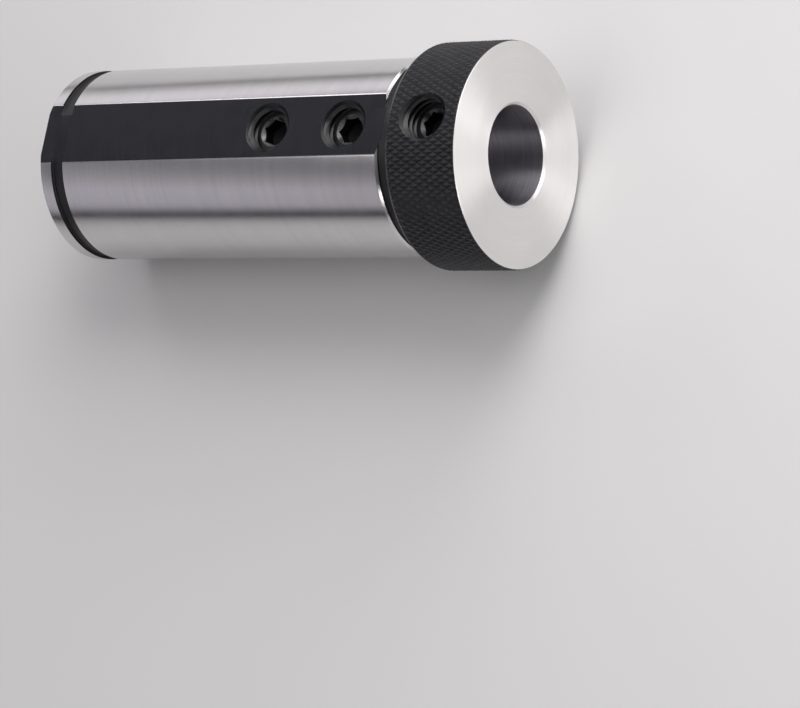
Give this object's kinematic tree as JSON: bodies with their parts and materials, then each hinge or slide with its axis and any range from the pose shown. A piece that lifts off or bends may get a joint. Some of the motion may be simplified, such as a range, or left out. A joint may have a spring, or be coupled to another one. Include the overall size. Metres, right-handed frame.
{
  "type": "boring bar sleeve",
  "caption": "Round steel sleeve with a knurled collar, clamping flats and set screws, which holds a round boring bar in a tool socket.",
  "frame": {"origin": "on the axis of the bore, in the plane of the shoulder where the collar stops against the socket", "axes": "+X along the bore, out of the collar's face; +Z the way the set screws point; the shank runs to -X"},
  "size_m": [0.085, 0.0364, 0.0364],
  "materials": {
    "ground_steel": "ground shank and face, black oxide elsewhere",
    "black_oxide_steel": "black oxide"
  },
  "bodies": {
    "sleeve": {"sleeve_body": "ground_steel"},
    "rear_screw": {"set_screw_rear": "black_oxide_steel"},
    "middle_screw": {"set_screw_middle": "black_oxide_steel"},
    "front_screw": {"set_screw_front": "black_oxide_steel"}
  },
  "joints": [
    {"name": "rear_screw_travel", "type": "slide", "parent": "sleeve", "child": "rear_screw", "axis": [0, 0, 1], "range_m": [-0.00125, 0.00375]},
    {"name": "middle_screw_travel", "type": "slide", "parent": "sleeve", "child": "middle_screw", "axis": [0, 0, 1], "range_m": [-0.00125, 0.00375]},
    {"name": "front_screw_travel", "type": "slide", "parent": "sleeve", "child": "front_screw", "axis": [0, 0, 1], "range_m": [-0.0025, 0.005]}
  ]
}
